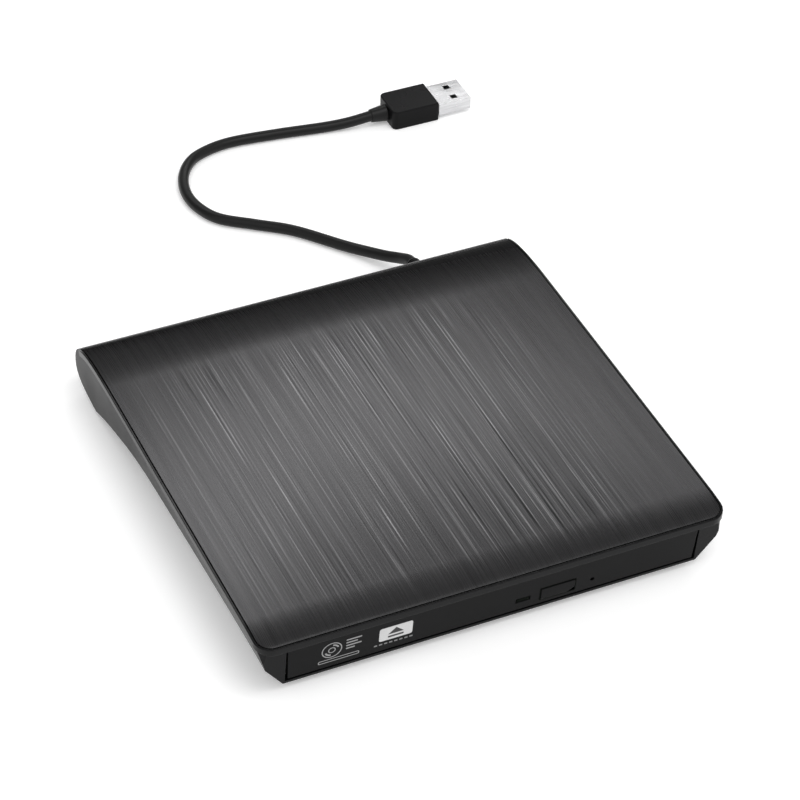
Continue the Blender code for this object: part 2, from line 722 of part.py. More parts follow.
def spindle(tray_frame):
    frame = joint_frame("spindle_axis", (SPINDLE[0], SPINDLE[1], 13.1), tray_frame)
    profile = [
        (0, 8.3), (2.0, 8.3), (2.0, 8.7), (12.4, 8.7), (12.4, 10.9), (8.0, 11.3), (8.0, 11.8),
        (14.4, 11.8), (14.4, 13.1), (14.0, 13.2), (14.0, 12.7), (11.4, 12.7), (11.4, 13.2),
        (7.2, 13.2), (7.2, 14.7), (6.2, 15.4), (2.2, 15.4), (2.2, 14.6), (0, 14.6),
    ]
    centre = upright(*SPINDLE)
    turntable = turned("turntable", profile, centre, "bright_steel", 32)
    ring = turned(
        "friction_ring", [(11.7, 13.0), (13.7, 13.0), (13.7, 13.45), (11.7, 13.45)], centre,
        "rubber_black", 32,
    )
    claws = []
    pockets = []
    for k in range(3):
        angle = math.radians(90 + 120 * k)
        turn = Matrix.Translation((*SPINDLE, 0)) @ Matrix.Rotation(angle, 4, "Z")
        pocket = prism("pocket", rectangle((4.9, 7.5), (-1.3, 1.3)), "Z", 13.6, 14.95)
        pocket.data.transform(scaled(turn))
        pockets.append(pocket)
        nose_shape = [(5.7, -0.9), (7.0, -0.9), (7.55, -0.4), (7.55, 0.4), (7.0, 0.9), (5.7, 0.9)]
        claw = prism(f"hub_claw_{k + 1}", nose_shape, "Z", 13.9, 14.6, "bright_steel")
        claw.data.transform(scaled(turn))
        claws.append((claw, turn @ Vector((6.6, 0, 14.25))))
    cut(turntable, *pockets)
    smooth(turntable)
    smooth(ring)
    hold(frame, turntable, ring)
    for claw, point in claws:
        hold(joint_frame(claw.name + "_frame", tuple(point), frame), claw)


def scaled(matrix):
    """A matrix in millimetres, for a mesh that is already in metres."""
    made = matrix.copy()
    made.translation *= MM
    return made


def sled(tray_frame):
    """Pickup sled with its rod bearings, the follower on the lead screw, and the lens."""
    u = (SLED_START - SLED_HALF, SLED_START + SLED_HALF)
    body = diagonal_box("pickup_sled", u, (-15.6, 15.6), (6.1, 9.6), "sheet_steel")
    bores = [
        diagonal_rod("bore", (u[0] - 2, u[1] + 2), v, ROD_HEIGHT, 1.25, "sheet_steel")
        for v in (-ROD_SPREAD, ROD_SPREAD)
    ]
    well = diagonal_box("well", (SLED_START - 5.4, SLED_START + 5.4), (-7.4, 7.4), (8.2, 12))
    cut(body, *bores, well)
    follower = diagonal_box(
        "sled_follower", (SLED_START - 4, SLED_START + 4), (-17.5, -15.9), (6.6, 8.8), "white_plastic"
    )
    point = (*diagonal(SLED_START, 0), 8.0)
    frame = joint_frame("sled_frame", point, tray_frame)
    hold(frame, body, follower)

    x, y = diagonal(SLED_START, 0)
    holder = diagonal_box(
        "lens_holder", (SLED_START - 4.2, SLED_START + 4.2), (-6.2, 6.2), (8.9, 10.3), "dark_plastic"
    )
    join(holder, rod("barrel", (x, y, 9.5), (x, y, 10.9), 3.2, steps=16))
    cut(holder, rod("seat", (x, y, 10.0), (x, y, 12), 2.6, steps=16))
    lens_profile = [(0, 10.3), (2.3, 10.3), (2.3, 10.8), (1.6, 11.1), (0.8, 11.25), (0, 11.3)]
    lens = turned("objective_lens", lens_profile, upright(x, y), "lens_blue", 16)
    smooth(lens, 80)
    hold(joint_frame("lens_frame", (x, y, 9.6), frame), holder, lens)

    screw_frame = joint_frame("lead_screw_axis", (*diagonal(7, SCREW_SIDE), ROD_HEIGHT), tray_frame)
    hold(screw_frame, lead_screw())


def lead_screw():
    """A screw of three starts' coarse pitch, drawn as rings along its shaft."""
    profile = [(0, 0), (0.7, 0)]
    pitch, length = 3.0, 51.2
    z = 0.8
    while z < length - pitch:
        profile += [(0.7, z), (1.15, z + 0.8), (1.15, z + 1.4), (0.7, z + 2.2)]
        z += pitch
    profile += [(0.7, length), (0, length)]
    start = Vector((*diagonal(7.0, SCREW_SIDE), ROD_HEIGHT))
    along = Vector((*FEED_DIRECTION, 0)).to_track_quat("Z", "Y").to_matrix().to_4x4()
    screw_body = turned("lead_screw", profile, Matrix.Translation(start) @ along, "bright_steel", 8)
    smooth(screw_body)
    return screw_body


def latch(tray_frame):
    px, py = LATCH_PIVOT
    outline = [
        (-2.6, -1.5), (-1.5, -2.6), (1.5, -2.6), (2.6, -1.5), (2.6, 1.0), (3.7, 7.2), (4.2, 11.6),
        (6.9, 11.6), (6.9, 12.6), (6.1, 13.6), (3.2, 13.6), (2.0, 11.0), (0.2, 3.2), (-1.5, 2.6),
        (-2.6, 1.5),
    ]
    lever = prism(
        "latch_lever", [(px + x, py + y) for x, y in outline], "Z", 5.5, 7.0, "white_plastic"
    )
    cut(lever, rod("bore", (px, py, 4), (px, py, 9), 1.5, steps=16))
    hold(joint_frame("latch_axis", (px, py, 6.2), tray_frame), lever)


# Cable.

ROUTE = (
    (44.0, 81.4, 8.0), (43.6, 83.9, 7.5), (42.2, 87.6, 5.9), (39.4, 92.3, 4.3), (35.7, 98.2, 2.9),
    (30.4, 105.0, 2.1), (18.8, 118.7, 1.9), (8.5, 126.6, 1.9), (-1.4, 134.2, 1.9),
    (-5.6, 142.2, 1.9), (-6.6, 150.6, 1.9), (-4.7, 159.0, 1.9), (-0.5, 165.9, 1.9),
    (5.6, 170.4, 1.9), (16.9, 172.9, 1.9), (33.8, 171.4, 1.9), (50.4, 168.9, 1.9),
    (59.0, 167.4, 2.6), (66.7, 166.7, 3.6),
)
ROUTE_STEPS = 3


def smooth_route(points, steps):
    """Points of a Catmull-Rom curve through the route's own points."""
    path = [Vector(p) for p in points]
    path = [2 * path[0] - path[1]] + path + [2 * path[-1] - path[-2]]
    found = []
    for a, b, c, d in zip(path, path[1:], path[2:], path[3:]):
        for k in range(steps):
            t = k / steps
            found.append(
                0.5 * (2 * b + (c - a) * t + (2 * a - 5 * b + 4 * c - d) * t**2
                       + (3 * b - a - 3 * c + d) * t**3)
            )
    return found + [path[-2]]


def cable():
    curve = bpy.data.curves.new("usb_cable", "CURVE")
    curve.dimensions = "3D"
    curve.bevel_depth = CORD_RADIUS * MM
    curve.bevel_resolution = 2
    curve.use_fill_caps = True
    path = smooth_route(ROUTE, ROUTE_STEPS)
    spline = curve.splines.new("POLY")
    spline.points.add(len(path) - 1)
    for point, place in zip(spline.points, path):
        point.co = (*(place * MM), 1)
    curve.materials.append(material("rubber_black"))
    obj = bpy.data.objects.new("usb_cable", curve)
    bpy.context.scene.collection.objects.link(obj)

    x, z = CORD_EXIT
    along_y = Matrix.Translation((x, 0, z)) @ Matrix.Rotation(-math.pi / 2, 4, "X")
    boot = [(0, 68.8), (3.2, 68.8), (3.2, 70.4), (2.4, 70.4), (2.4, 75.9), (3.0, 75.9),
            (2.3, BOOT_TIP), (0, BOOT_TIP)]
    smooth(turned("strain_relief", boot, along_y, "rubber_black", 16))


def usb_plug():
    y, z = PLUG_Y, PLUG_Z
    half, corner = 6.6, 1.8
    upper = []
    for k in range(4):
        angle = math.pi / 2 + k / 3 * math.pi / 2
        x = PLUG_BACK + corner + corner * math.cos(angle)
        upper.append((x, half - corner + corner * math.sin(angle)))
    upper = [(PLUG_FRONT, half)] + upper
    outline = [(x, y + side) for x, side in upper] + [(x, y - side) for x, side in upper[::-1]]
    prism("plug_body", outline, "Z", 0.0, 2 * z, "satin_black")
    along_x = Matrix.Translation((0, y, z)) @ Matrix.Rotation(math.pi / 2, 4, "Y")
    neck = [(0, PLUG_NECK), (2.3, PLUG_NECK), (3.0, PLUG_BACK - GAP), (0, PLUG_BACK - GAP)]
    smooth(turned("plug_neck", neck, along_x, "rubber_black", 16))
    tip = PLUG_FRONT + 12.3
    length = (PLUG_FRONT + GAP, tip)
    shell = box("plug_shell", length, (y - 6, y + 6), (z - 2.25, z + 2.25), "bright_steel")
    mouth = box("mouth", (PLUG_FRONT + 1.0, tip + 1), (y - 5.65, y + 5.65), (z - 1.9, z + 1.9))
    latch_holes = [
        box("hole", (PLUG_FRONT + 6.0, PLUG_FRONT + 8.2), (y + s - 1.1, y + s + 1.1), (z, z + 4))
        for s in (-3.0, 3.0)
    ]
    cut(shell, mouth, *latch_holes)
    inner = (PLUG_FRONT + 1.3, tip - 0.6)
    box("plug_tongue", inner, (y - 5.3, y + 5.3), (z - 1.6, z + 0.2), "dark_plastic")


def main():
    clear_scene()
    lid_plate()
    top_cover()
    bottom_case()
    feet_and_screws()
    drive_shell()
    rail_guides()
    rails()
    fixed_electronics()
    tray_frame = joint_frame("tray_frame", (0, TRAY_FRONT, 10))
    tray(tray_frame)
    tray_bezel(tray_frame)
    tray_mechanism(tray_frame)
    tray_small_parts(tray_frame)
    eject_button(tray_frame)
    spindle(tray_frame)
    sled(tray_frame)
    latch(tray_frame)
    cable()
    usb_plug()


main()
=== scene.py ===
"""External slim optical drive on a pale desk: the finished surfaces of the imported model.

Lengths in the tables below are in millimetres. Every piece is made in metres, in the model's frame.
"""

import json
import math

import bmesh
import bpy
from mathutils import Matrix, Vector


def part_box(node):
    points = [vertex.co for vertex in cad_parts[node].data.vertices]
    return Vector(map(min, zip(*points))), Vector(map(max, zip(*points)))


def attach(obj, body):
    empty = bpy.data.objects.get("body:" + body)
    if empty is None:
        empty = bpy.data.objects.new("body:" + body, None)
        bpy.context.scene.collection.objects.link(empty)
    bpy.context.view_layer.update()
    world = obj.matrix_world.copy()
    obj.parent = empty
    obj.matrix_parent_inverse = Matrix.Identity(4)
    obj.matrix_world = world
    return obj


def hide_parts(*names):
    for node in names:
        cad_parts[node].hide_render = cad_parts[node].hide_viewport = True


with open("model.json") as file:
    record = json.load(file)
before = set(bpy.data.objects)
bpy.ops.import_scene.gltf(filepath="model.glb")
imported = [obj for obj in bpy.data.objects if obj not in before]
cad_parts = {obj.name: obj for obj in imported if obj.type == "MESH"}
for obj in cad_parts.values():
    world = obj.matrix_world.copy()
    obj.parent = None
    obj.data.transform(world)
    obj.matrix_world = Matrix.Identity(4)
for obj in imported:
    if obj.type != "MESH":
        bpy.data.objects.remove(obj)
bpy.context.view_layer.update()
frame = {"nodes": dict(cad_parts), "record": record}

MM = 0.001
BODY_OF = {n: b for b, nodes in frame["record"]["behaviour"]["bodies"].items() for n in nodes}

# Camera, at the photograph's viewing angle: its axes, its place in metres and its lens on 36 mm of film.

RIGHT = Vector((0.91182, -0.40999, 0.02208))
UP = Vector((0.24962, 0.59625, 0.76301))
BACK = Vector((-0.32599, -0.69021, 0.64601))
EYE = Vector((-0.3016, -0.6443, 0.6302))
LENS = 142.2
FILM = 36.0


def make_camera():
    data = bpy.data.cameras.new("camera")
    data.sensor_width = FILM
    data.lens = LENS
    data.clip_start, data.clip_end = 0.01, 20.0
    camera = bpy.data.objects.new("camera", data)
    camera.matrix_world = Matrix.Translation(EYE) @ Matrix((RIGHT, UP, BACK)).transposed().to_4x4()
    bpy.context.scene.collection.objects.link(camera)
    bpy.context.scene.camera = camera


# Light and floor.


def softbox(name, place, target, size, power, roll=0.0):
    """A rectangular light of a size in metres and a power in watts, turned to face a target."""
    data = bpy.data.lights.new(name, "AREA")
    data.shape = "RECTANGLE"
    data.size, data.size_y = size
    data.energy = power
    light = bpy.data.objects.new(name, data)
    bpy.context.scene.collection.objects.link(light)
    turn = (target - place).to_track_quat("-Z", "Y").to_matrix().to_4x4()
    light.matrix_world = Matrix.Translation(place) @ turn @ Matrix.Rotation(math.radians(roll), 4, "Z")


def direction(azimuth, elevation, distance):
    """A place round the object: azimuth from +Y towards +X, both in degrees."""
    a, e = math.radians(azimuth), math.radians(elevation)
    flat = distance * math.cos(e)
    return Vector((flat * math.sin(a), flat * math.cos(a), distance * math.sin(e)))


ROOM_DARK = 0.43  # strength at the back of the room
ROOM_FADE = (0.25, -0.3)  # Y of a direction where the front's extra light starts, and where it is full
ROOM_BRIGHT = (0.5, 0.45, -0.1)  # extra light in front: everywhere, straight up, to the right


def make_world():
    """A room that is bright in front and overhead, slightly dimmer to the right, and dim at the back."""
    world = bpy.data.worlds.new("studio")
    world.use_nodes = True
    nodes, links = world.node_tree.nodes, world.node_tree.links
    background = nodes["Background"]
    split = nodes.new("ShaderNodeSeparateXYZ")
    links.new(nodes.new("ShaderNodeTexCoord").outputs["Generated"], split.inputs[0])
    fade = nodes.new("ShaderNodeMapRange")
    fade.interpolation_type = "SMOOTHSTEP"
    fade.inputs["From Min"].default_value, fade.inputs["From Max"].default_value = ROOM_FADE
    links.new(split.outputs["Y"], fade.inputs["Value"])

    def multiply_add(*values):
        made = nodes.new("ShaderNodeMath")
        made.operation = "MULTIPLY_ADD"
        for socket, value in zip(made.inputs, values):
            if isinstance(value, float):
                socket.default_value = value
            else:
                links.new(value, socket)
        return made.outputs[0]

    base, overhead, right = ROOM_BRIGHT
    level = multiply_add(split.outputs["Z"], overhead, base)
    level = multiply_add(split.outputs["X"], right, level)
    links.new(multiply_add(fade.outputs[0], level, ROOM_DARK), background.inputs["Strength"])
    background.inputs["Color"].default_value = (1.0, 1.0, 1.0, 1.0)
    bpy.context.scene.world = world


FLOOR_HALF = 6.0  # metres from the middle of the floor to its edge
STRIP_PLACE = Vector((0.7, 1.21, 1.078))  # high behind the object, as the lid mirrors it to the camera
STRIP_TARGET = Vector((0.7, 0.02, 0.01))


def make_stage():
    mesh = bpy.data.meshes.new("floor")
    bm = bmesh.new()
    bmesh.ops.create_grid(bm, x_segments=1, y_segments=1, size=FLOOR_HALF)
    bm.to_mesh(mesh)
    bm.free()
    floor = bpy.data.objects.new("floor", mesh)
    bpy.context.scene.collection.objects.link(floor)
    mesh.materials.append(floor_material())
    softbox("rear_strip", STRIP_PLACE, STRIP_TARGET, (2.6, 0.21), 7.0, roll=11.0)
    softbox("overhead_softbox", direction(150, 74, 1.6), Vector((0.0, 0.0, 0.0)), (0.8, 0.8), 4.8)
    bpy.context.scene.view_settings.view_transform = "Standard"


# Node materials.


class Shader:
    """A material's node tree, with short calls to add nodes to it."""

    def __init__(self, name, colour, roughness, metallic=0.0, **uniform):
        self.material = bpy.data.materials.new(name)
        self.material.use_nodes = True
        self.tree = self.material.node_tree
        self.principled = self.tree.nodes["Principled BSDF"]
        self.set("Base Color", (*colour, 1.0))
        self.set("Roughness", roughness)
        self.set("Metallic", metallic)
        for socket, value in uniform.items():
            self.set(socket.replace("_", " "), value)
        self.place = self.add("ShaderNodeTexCoord").outputs["Object"]

    def set(self, socket, value):
        self.principled.inputs[socket].default_value = value

    def add(self, kind, *inputs, **settings):
        made = self.tree.nodes.new(kind)
        for name, value in settings.items():
            setattr(made, name, value)
        for socket, value in enumerate(inputs):
            self.feed(made.inputs[socket], value)
        return made

    def feed(self, socket, value):
        if value is None:
            return
        if isinstance(value, bpy.types.NodeSocket):
            self.tree.links.new(value, socket)
        else:
            socket.default_value = value

    def scaled(self, scale):
        """Object coordinates times a scale for each axis, in cycles per millimetre."""
        mapping = self.add("ShaderNodeMapping", self.place)
        mapping.inputs["Scale"].default_value = [s / MM for s in scale]
        return mapping.outputs[0]

    def noise(self, scale, detail=2.0, roughness=0.5):
        made = self.add("ShaderNodeTexNoise", self.scaled(scale))
        made.inputs["Scale"].default_value = 1.0
        made.inputs["Detail"].default_value = detail
        made.inputs["Roughness"].default_value = roughness
        return made.outputs["Fac"]

    def axes(self):
        """X and Y of the object coordinates, in millimetres."""
        split = self.add("ShaderNodeSeparateXYZ", self.scaled((1.0, 1.0, 1.0)))
        return split.outputs["X"], split.outputs["Y"]

    def fade(self, value, none, full):
        """Rises smoothly from 0 at none to 1 at full."""
        made = self.add("ShaderNodeMapRange", value, none, full, 0.0, 1.0, interpolation_type="SMOOTHSTEP")
        return made.outputs[0]

    def remap(self, value, low, high, to_low, to_high):
        made = self.add("ShaderNodeMapRange", value, low, high, to_low, to_high)
        return made.outputs[0]

    def math(self, operation, a, b=None):
        return self.add("ShaderNodeMath", a, b, operation=operation).outputs[0]

    def mix(self, factor, a, b):
        made = self.add("ShaderNodeMix", data_type="RGBA")
        self.feed(made.inputs["Factor"], factor)
        self.feed(made.inputs["A"], (*a, 1.0) if isinstance(a, tuple) else a)
        self.feed(made.inputs["B"], (*b, 1.0) if isinstance(b, tuple) else b)
        return made.outputs["Result"]

    def colour(self, value):
        self.feed(self.principled.inputs["Base Color"], value)

    def roughness(self, value):
        self.feed(self.principled.inputs["Roughness"], value)

    def bump(self, height, depth, strength=1.0):
        """Height from 0 to 1 becomes a relief of that depth in millimetres."""
        made = self.add("ShaderNodeBump")
        made.inputs["Strength"].default_value = strength
        made.inputs["Distance"].default_value = depth * MM
        self.feed(made.inputs["Height"], height)
        self.feed(self.principled.inputs["Normal"], made.outputs[0])

    def edge_wear_and_highlight(self, colour, worn_and_lit_edge, amount):
        """Lightens edges, convex and concave alike, broken up by a noise: partly wear, partly a painted
        highlight. An edge is where a bevelled normal leaves the face's own.
        """
        bevelled = self.add("ShaderNodeBevel", samples=4)
        bevelled.inputs["Radius"].default_value = 0.25 * MM
        plain = self.add("ShaderNodeNewGeometry").outputs["Normal"]
        facing = self.add("ShaderNodeVectorMath", bevelled.outputs[0], plain, operation="DOT_PRODUCT")
        sharp = self.remap(facing.outputs["Value"], 0.995, 0.9, 0.0, amount)
        patchy = self.remap(self.noise((0.35, 0.35, 0.35), 3), 0.35, 0.7, 0.2, 1.0)
        self.colour(self.mix(self.math("MULTIPLY", sharp, patchy), colour, worn_and_lit_edge))


FLOOR_GLOW = 0.21
FLOOR_TONES = ((0.93, 0.93, 0.93), (0.96, 0.96, 0.96))


def floor_material():
    """Pale sheet of a light table, which glows a little from below."""
    s = Shader("desk", FLOOR_TONES[0], 0.6, Specular_IOR_Level=0.2, Emission_Strength=FLOOR_GLOW)
    s.set("Emission Color", (1.0, 1.0, 1.0, 1.0))
    s.colour(s.mix(s.noise((0.01, 0.01, 0.01), 3), *FLOOR_TONES))
    s.bump(s.noise((1.2, 1.2, 1.2), 3), 0.02)
    return s.material


LID_GROUND = ((0.047, 0.0465, 0.0475), (0.06, 0.0594, 0.0606), (0.07, 0.0692, 0.0708))
LID_SCRATCH_HIGHLIGHT = (0.23, 0.228, 0.232)
LID_DARK_LINE = (0.006, 0.006, 0.006)


def brushed_lid_material():
    """Dark brushed film: long fine scratches along Y, in some patches; their bright lines are a painted
    highlight, strongest in the middle where the lid catches the light.
    """
    s = Shader("brushed_lid", (0.05, 0.05, 0.05), 0.28, 0.9, Anisotropic=0.8)
    s.set("Specular Tint", (0.2, 0.2, 0.2, 1.0))
    across = s.add("ShaderNodeCombineXYZ", 1.0, 0.0, 0.0).outputs[0]
    s.feed(s.principled.inputs["Tangent"], across)
    x, y = s.axes()
    # The scratches and their painted highlight fade out towards the lid's ends, where the lid looks dark, and
    # towards its sides, given in mm.
    ends = s.math("MULTIPLY", s.fade(y, -74, -56), s.fade(y, 52, 36))
    sides = s.math("MULTIPLY", s.fade(x, -76, -40), s.fade(x, 60, 30))
    patch = s.remap(s.noise((0.035, 0.02, 0.02), 2), 0.36, 0.6, 0.45, 1.0)
    mask = s.math("MULTIPLY", s.math("MULTIPLY", ends, sides), patch)
    lines = s.noise((1.7, 0.004, 0.05), 1, 0.6)
    length = s.noise((1.1, 0.03, 0.05), 1, 0.5)
    sparse = s.math("MULTIPLY", s.remap(length, 0.4, 0.62, 0.1, 1.0), mask)
    hair = s.noise((4.5, 0.02, 0.05), 1, 0.5)
    broad = s.noise((0.5, 0.016, 0.05), 2, 0.5)
    # Bright lines on the scratches: a painted highlight.
    scratch_highlight = s.math("MULTIPLY", s.remap(lines, 0.52, 0.74, 0.0, 1.0), sparse)
    dark = s.math("MULTIPLY", s.remap(lines, 0.48, 0.3, 0.0, 1.0), sparse)
    ground = s.mix(s.remap(broad, 0.3, 0.7, 0.0, 1.0), *LID_GROUND[:2])
    ground = s.mix(s.remap(hair, 0.35, 0.65, 0.0, 0.35), ground, LID_GROUND[2])
    lit = s.mix(scratch_highlight, ground, LID_SCRATCH_HIGHLIGHT)
    s.colour(s.mix(s.math("MULTIPLY", dark, 0.8), lit, LID_DARK_LINE))
    s.roughness(s.remap(hair, 0.3, 0.7, 0.25, 0.31))
    s.bump(lines, 0.006, 0.4)
    return s.material


def plastic(name, colour, roughness, grain=0.012, scale=3.0, worn_and_lit_edge=None, **uniform):
    """Moulded plastic with a fine grain, slight cloudiness in its gloss and paler edges, partly wear and
    partly a painted highlight.
    """
    s = Shader(name, colour, roughness, **uniform)
    cloud = s.noise((0.05, 0.05, 0.05), 3)
    s.roughness(s.remap(cloud, 0.3, 0.7, roughness - 0.05, roughness + 0.06))
    s.bump(s.noise((scale, scale, scale), 3, 0.6), grain)
    # Paler edges: partly wear, partly a painted highlight on every bevelled edge.
    s.edge_wear_and_highlight(colour, worn_and_lit_edge or tuple(min(c * 2.2 + 0.01, 1.0) for c in colour), 0.5)
    return s.material


def metal(name, colour, roughness, stretch=(0.15, 2.5, 2.5), depth=0.006, anisotropic=0.3):
    """Rolled or turned metal with faint lines and smudges."""
    s = Shader(name, colour, roughness, 1.0, Anisotropic=anisotropic)
    lines = s.noise(stretch, 3, 0.6)
    smudge = s.noise((0.08, 0.08, 0.08), 3)
    s.roughness(s.remap(smudge, 0.3, 0.7, roughness - 0.06, roughness + 0.1))
    darker = tuple(c * 0.8 for c in colour)
    s.colour(s.mix(s.remap(lines, 0.3, 0.7, 0.0, 1.0), darker, colour))
    s.bump(lines, depth)
    return s.material


def circuit_material(name, low, high):
    """Solder mask over copper tracks; above and below the board's own faces, black packages."""
    s = Shader(name, (0.01, 0.09, 0.045), 0.35)
    cells = s.add("ShaderNodeTexVoronoi", s.scaled((0.55, 0.55, 0.55)), distance="MANHATTAN")
    tracks = s.remap(cells.outputs["Distance"], 0.18, 0.24, 0.0, 1.0)
    board = s.mix(tracks, (0.02, 0.16, 0.08), (0.008, 0.07, 0.035))
    height = s.add("ShaderNodeSeparateXYZ", s.scaled((1.0, 1.0, 1.0))).outputs["Z"]
    package = s.math("MAXIMUM", s.math("GREATER_THAN", height, high), s.math("LESS_THAN", height, low))
    s.colour(s.mix(package, board, (0.012, 0.012, 0.013)))
    s.bump(tracks, 0.03)
    return s.material


def glass_material():
    """Coated lens: violet with a blue cast, very smooth."""
    s = Shader("lens_glass", (0.05, 0.07, 0.16), 0.04, Coat_Weight=1.0, IOR=1.6)
    s.colour(s.mix(s.noise((0.4, 0.4, 0.4), 1), (0.04, 0.05, 0.16), (0.10, 0.05, 0.18)))
    return s.material


def lamp_material():
    """Unlit lamp window: near black with a green cast, hardly any gloss."""
    s = Shader("lamp_window", (0.004, 0.005, 0.004), 0.45, Specular_IOR_Level=0.02)
    s.bump(s.noise((2.0, 2.0, 2.0), 2), 0.01)
    s.colour(s.mix(s.noise((0.5, 0.5, 0.5), 2), (0.002, 0.003, 0.002), (0.005, 0.007, 0.005)))
    return s.material


def print_material(name, tone):
    """Printed ink of a grey tone, slightly uneven."""
    s = Shader(name, (tone,) * 3, 0.5)
    s.colour(s.mix(s.noise((3.0, 3.0, 3.0), 2), (tone * 0.8,) * 3, (tone,) * 3))
    s.bump(s.noise((4.0, 4.0, 4.0), 2), 0.004)
    return s.material


MATERIALS = {
    "lid_brushed": brushed_lid_material(),
    "gloss_black": plastic("gloss_black", (0.0025, 0.0025, 0.0028), 0.2, 0.002, 0.8, Specular_IOR_Level=0.18),
    "case_plastic": plastic("case_plastic", (0.005, 0.005, 0.0053), 0.3, 0.004, 2.5, Specular_IOR_Level=0.09),
    "bezel_plastic": plastic(
        "bezel_plastic", (0.002, 0.002, 0.0022), 0.32, 0.006, 3.0, Specular_IOR_Level=0.08
    ),
    "tray_plastic": plastic("tray_plastic", (0.02, 0.02, 0.022), 0.45, 0.015, 3.0),
    "white_plastic": plastic("white_plastic", (0.72, 0.71, 0.67), 0.45, 0.01, 2.0, (0.8, 0.8, 0.78)),
    "rubber": plastic("rubber", (0.018, 0.018, 0.018), 0.8, 0.03, 3.0),
    "cable_jacket": plastic(
        "cable_jacket", (0.0035, 0.0035, 0.0035), 0.36, 0.008, 4.0, Specular_IOR_Level=0.22
    ),
    "sheet_steel": metal("sheet_steel", (0.52, 0.53, 0.54), 0.34),
    "bright_steel": metal("bright_steel", (0.68, 0.68, 0.69), 0.2),
    "ribbon": plastic("ribbon", (0.5, 0.36, 0.17), 0.4, 0.01, 2.0),
    "lens": glass_material(),
    "lamp": lamp_material(),
}


# Nodes whose finish differs from their slot's usual one.
OWN_FINISH = {
    "mech_cover": metal("painted_steel", (0.05, 0.05, 0.053), 0.42, (1.5, 1.5, 1.5), 0.012, 0.0),
    "pickup_sled": metal("cast_zinc", (0.3, 0.3, 0.31), 0.5, (1.2, 1.2, 1.2), 0.03, 0.0),
    "lens_holder": plastic("lens_mount", (0.012, 0.012, 0.013), 0.5, 0.01, 3.0),
}


# Pieces.


def piece(name, mesh, body, slot, material=None, *replaced, sharp=35.0):
    """A finished mesh on a body. Edges sharper than that many degrees stay sharp when it is shaded."""
    obj = bpy.data.objects.new(name, mesh)
    bpy.context.scene.collection.objects.link(obj)
    mesh.materials.clear()
    mesh.materials.append(material or MATERIALS[slot])
    mesh.shade_smooth()
    mesh.set_sharp_from_angle(angle=math.radians(sharp))
    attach(obj, body)
    if replaced:
        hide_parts(*replaced)
    return obj


BEVEL_ANGLE = 25.0  # edges sharper than this many degrees are bevelled


def refined(node, bevel, segments=2, made_of=None):
    """The node's own shape with its triangles joined up and its edges rounded by a bevel in mm."""
    source = frame["nodes"][node].data
    bm = bmesh.new()
    bm.from_mesh(source)
    bmesh.ops.remove_doubles(bm, verts=bm.verts, dist=4e-6)
    bmesh.ops.dissolve_limit(
        bm, angle_limit=math.radians(0.5), use_dissolve_boundaries=False, verts=bm.verts, edges=bm.edges
    )
    if bevel:
        limit = math.radians(BEVEL_ANGLE)
        edges = [e for e in bm.edges if len(e.link_faces) == 2 and e.calc_face_angle() > limit]
        bmesh.ops.bevel(
            bm, geom=edges, offset=bevel * MM, offset_type="OFFSET", segments=segments,
            profile=0.5, affect="EDGES", clamp_overlap=True,
        )
    mesh = bpy.data.meshes.new(node + "_skin")
    bm.to_mesh(mesh)
    bm.free()
    slot = source.materials[0].name
    skin = piece(node + "_skin", mesh, BODY_OF[node], slot, made_of or OWN_FINISH.get(node), node)
    if node != "lid_plate":  # its long curved facets would show as bands
        skin.modifiers.new("flat_faces", "WEIGHTED_NORMAL").keep_sharp = True
    return skin


def circle(x, y, radius, steps=32, start=0.0, sweep=360.0):
    """Points on a circle; an arc's sweep has both its ends."""
    last = steps if sweep == 360.0 else steps - 1
    angles = [math.radians(start + sweep * k / last) for k in range(steps)]
    return [(x + radius * math.cos(a), y + radius * math.sin(a)) for a in angles]


def rounded(x0, x1, y0, y1, radius, steps=5):
    """Outline of a rectangle with round corners."""
    found = []
    for x, y, start in ((x1 - radius, y1 - radius, 0), (x0 + radius, y1 - radius, 90),
                        (x0 + radius, y0 + radius, 180), (x1 - radius, y0 + radius, 270)):
        found += circle(x, y, radius, steps, start, 90.0)
    return found


def frame_shape(x0, x1, y0, y1, radius, width):
    """The border of a rounded rectangle, as its outer and inner outlines."""
    inner = rounded(x0 + width, x1 - width, y0 + width, y1 - width, max(radius - width, 0.05))
    return rounded(x0, x1, y0, y1, radius), inner, True


def add_wall(bm, near, far, closed=True):
    """Faces between two rows of as many points."""
    count = len(near)
    for k in range(count if closed else count - 1):
        j = (k + 1) % count
        bm.faces.new((near[k], near[j], far[j], far[k]))


def outward_mesh(bm, name):
    """The finished mesh, with every face looking out."""
    bmesh.ops.recalc_face_normals(bm, faces=bm.faces)
    mesh = bpy.data.meshes.new(name)
    bm.to_mesh(mesh)
    bm.free()
    return mesh


def relief(name, shapes, place, low, high, body, slot, made_of=None):
    """Flat shapes with a thickness. A shape is a convex outline, or two outlines and whether they close.

    place turns a shape's two coordinates and a height into a place on the object, all in mm.
    """
    bm = bmesh.new()

    def row(points, height):
        return [bm.verts.new(Vector(place(x, y, height)) * MM) for x, y in points]

    for shape in shapes:
        if not isinstance(shape, tuple):
            floor, top = row(shape, low), row(shape, high)
            bm.faces.new(top)
            bm.faces.new(floor[::-1])
            add_wall(bm, floor, top)
        else:
            outer, inner, closed = shape
            a, b, c, d = row(outer, low), row(outer, high), row(inner, high), row(inner, low)
            if not closed:
                bm.faces.new((a[0], b[0], c[0], d[0]))
                bm.faces.new((d[-1], c[-1], b[-1], a[-1]))
            for near, far in ((a, b), (b, c), (c, d), (d, a)):
                add_wall(bm, near, far, closed)
    piece(name, outward_mesh(bm, name), body, slot, made_of)


def upright_place(x, y, z):
    return x, y, z


# Cord, strain relief and plug.

